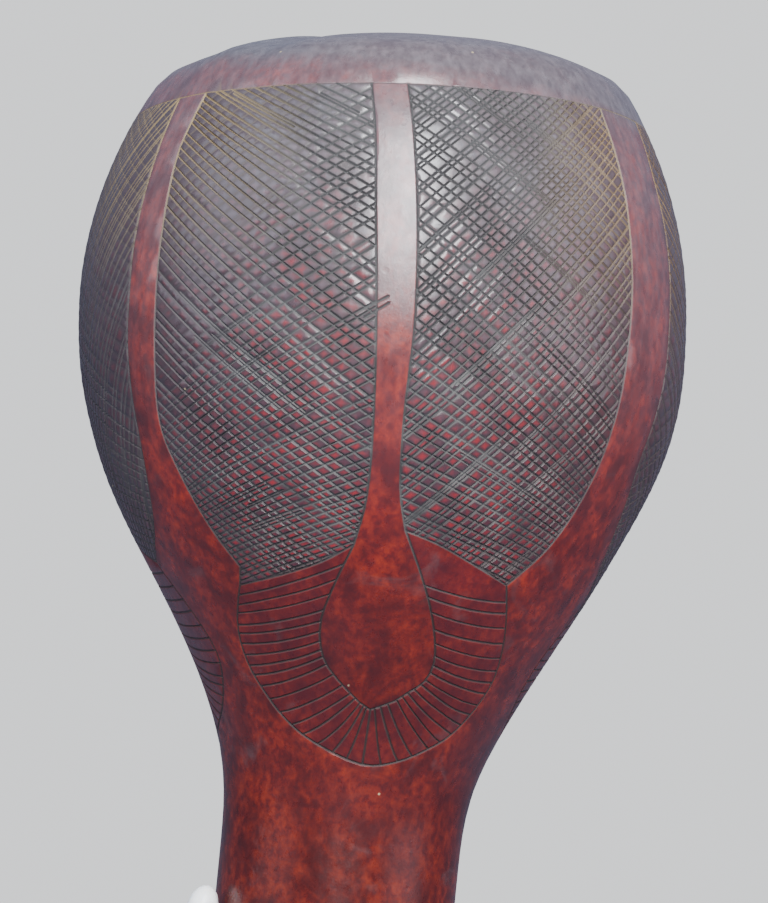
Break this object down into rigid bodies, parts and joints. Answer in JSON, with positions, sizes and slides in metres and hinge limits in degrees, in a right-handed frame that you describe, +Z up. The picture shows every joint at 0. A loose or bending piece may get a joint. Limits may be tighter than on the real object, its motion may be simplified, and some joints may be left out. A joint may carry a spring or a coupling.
{
  "type": "maracas",
  "caption": "Engraved dried-gourd rattle: a flat-crowned hollow head whose own neck is the handle, with loose seeds, an end stopper and a beaded tie cord.",
  "frame": {"origin": "centre of the stopper's flat end face, at the cut end of the handle", "axes": "+Z up along the straight handle towards the head; the head leans 5.4 degrees towards -X; the main engraved motif faces -Y"},
  "size_m": [0.1205, 0.12, 0.2939],
  "materials": {
    "gourd_rind": "stained and waxed dried gourd rind, satin, with engraved lines filled grey-green",
    "plug_wood": "turned, oiled wood",
    "dry_seed": "hard dry seeds, slightly glossy",
    "cotton_cord": "twisted natural cotton",
    "white_bead": "smooth creamy white, satin"
  },
  "bodies": {
    "rattle": {"gourd_shell": "gourd_rind", "end_plug": "plug_wood", "cord_wrap": "cotton_cord", "cord_knot": "cotton_cord", "tail_up": "cotton_cord", "bead_up": "white_bead", "loop_knot": "cotton_cord"},
    "seed_01": {"seed_01": "dry_seed"},
    "seed_02": {"seed_02": "dry_seed"},
    "seed_03": {"seed_03": "dry_seed"},
    "seed_04": {"seed_04": "dry_seed"},
    "seed_05": {"seed_05": "dry_seed"},
    "seed_06": {"seed_06": "dry_seed"},
    "seed_07": {"seed_07": "dry_seed"},
    "seed_08": {"seed_08": "dry_seed"},
    "seed_09": {"seed_09": "dry_seed"},
    "seed_10": {"seed_10": "dry_seed"},
    "seed_11": {"seed_11": "dry_seed"},
    "seed_12": {"seed_12": "dry_seed"},
    "seed_13": {"seed_13": "dry_seed"},
    "seed_14": {"seed_14": "dry_seed"},
    "seed_15": {"seed_15": "dry_seed"},
    "seed_16": {"seed_16": "dry_seed"},
    "seed_17": {"seed_17": "dry_seed"},
    "seed_18": {"seed_18": "dry_seed"},
    "seed_19": {"seed_19": "dry_seed"},
    "tail": {"tail_down": "cotton_cord"},
    "bead_short": {"bead_short": "white_bead"},
    "bead_long": {"bead_long": "white_bead"},
    "loop": {"hang_loop": "cotton_cord"}
  },
  "joints": [
    {"name": "seed_01_slide", "type": "slide", "parent": "rattle", "child": "seed_01", "axis": [0, 0, 1], "range_m": [0, 0.2645]},
    {"name": "seed_02_slide", "type": "slide", "parent": "rattle", "child": "seed_02", "axis": [0, 0, 1], "range_m": [0, 0.2645]},
    {"name": "seed_03_slide", "type": "slide", "parent": "rattle", "child": "seed_03", "axis": [0, 0, 1], "range_m": [0, 0.2645]},
    {"name": "seed_04_slide", "type": "slide", "parent": "rattle", "child": "seed_04", "axis": [0, 0, 1], "range_m": [0, 0.2645]},
    {"name": "seed_05_slide", "type": "slide", "parent": "rattle", "child": "seed_05", "axis": [0, 0, 1], "range_m": [0, 0.2645]},
    {"name": "seed_06_slide", "type": "slide", "parent": "rattle", "child": "seed_06", "axis": [0, 0, 1], "range_m": [0, 0.2645]},
    {"name": "seed_07_slide", "type": "slide", "parent": "rattle", "child": "seed_07", "axis": [0, 0, 1], "range_m": [0, 0.2645]},
    {"name": "seed_08_slide", "type": "slide", "parent": "rattle", "child": "seed_08", "axis": [0, 0, 1], "range_m": [0, 0.2645]},
    {"name": "seed_09_slide", "type": "slide", "parent": "rattle", "child": "seed_09", "axis": [0, 0, 1], "range_m": [0, 0.2645]},
    {"name": "seed_10_slide", "type": "slide", "parent": "rattle", "child": "seed_10", "axis": [0, 0, 1], "range_m": [0, 0.2645]},
    {"name": "seed_11_slide", "type": "slide", "parent": "rattle", "child": "seed_11", "axis": [0, 0, 1], "range_m": [0, 0.2645]},
    {"name": "seed_12_slide", "type": "slide", "parent": "rattle", "child": "seed_12", "axis": [0, 0, 1], "range_m": [0, 0.2645]},
    {"name": "seed_13_slide", "type": "slide", "parent": "rattle", "child": "seed_13", "axis": [0, 0, 1], "range_m": [0, 0.2645]},
    {"name": "seed_14_slide", "type": "slide", "parent": "rattle", "child": "seed_14", "axis": [0, 0, 1], "range_m": [0, 0.2645]},
    {"name": "seed_15_slide", "type": "slide", "parent": "rattle", "child": "seed_15", "axis": [0, 0, 1], "range_m": [0, 0.2645]},
    {"name": "seed_16_slide", "type": "slide", "parent": "rattle", "child": "seed_16", "axis": [0, 0, 1], "range_m": [0, 0.2645]},
    {"name": "seed_17_slide", "type": "slide", "parent": "rattle", "child": "seed_17", "axis": [0, 0, 1], "range_m": [0, 0.2645]},
    {"name": "seed_18_slide", "type": "slide", "parent": "rattle", "child": "seed_18", "axis": [0, 0, 1], "range_m": [0, 0.2645]},
    {"name": "seed_19_slide", "type": "slide", "parent": "rattle", "child": "seed_19", "axis": [0, 0, 1], "range_m": [0, 0.2645]},
    {"name": "tail_swing", "type": "hinge", "parent": "rattle", "child": "tail", "pos_m": [-0.02668, -0.01132, 0.106], "axis": [-0.3907, 0.9205, 0], "range_deg": [-3, 100]},
    {"name": "bead_short_slide", "type": "slide", "parent": "tail", "child": "bead_short", "axis": [0, 0, 1], "range_m": [0, 0.014]},
    {"name": "bead_long_slide", "type": "slide", "parent": "tail", "child": "bead_long", "axis": [0, 0, 1], "range_m": [0, 0.028]},
    {"name": "loop_swing", "type": "hinge", "parent": "rattle", "child": "loop", "pos_m": [0, 0.02899, 0.106], "axis": [1, 0, 0], "range_deg": [-3, 110]}
  ]
}
